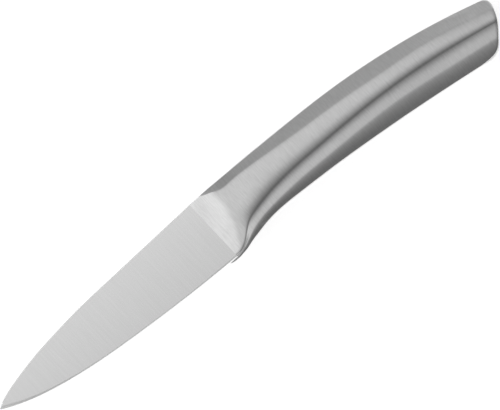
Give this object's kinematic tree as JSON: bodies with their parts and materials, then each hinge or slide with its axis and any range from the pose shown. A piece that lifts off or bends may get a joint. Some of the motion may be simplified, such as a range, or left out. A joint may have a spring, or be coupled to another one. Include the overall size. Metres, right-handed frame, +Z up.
{
  "type": "paring knife",
  "caption": "Short pointed paring knife: straight-spined flat-ground blade, scooped bolster and a curved hollow stainless handle with a swept crease.",
  "frame": {"origin": "middle of the bounding box on the plane that the knife lies on", "axes": "+X along the straight blade spine from the tip towards the butt, +Y from the cutting edge towards the spine, +Z up through the thickness of the knife as it lies on its side"},
  "size_m": [0.2001, 0.0313, 0.014],
  "materials": {
    "blade_steel": "fine satin ground martensitic stainless steel",
    "bolster_steel": "satin ground stainless steel",
    "handle_steel": "cross-brushed pressed stainless steel sheet",
    "weld_steel": "weld metal ground flush and brushed"
  },
  "bodies": {
    "root": {"blade": "blade_steel", "bolster": "bolster_steel", "handle_shell_left": "handle_steel", "handle_shell_right": "handle_steel", "end_cap": "handle_steel", "spine_seam_weld": "weld_steel", "belly_seam_weld": "weld_steel", "ring_weld": "weld_steel", "cap_weld": "weld_steel", "tang_weld": "weld_steel"}
  },
  "joints": []
}
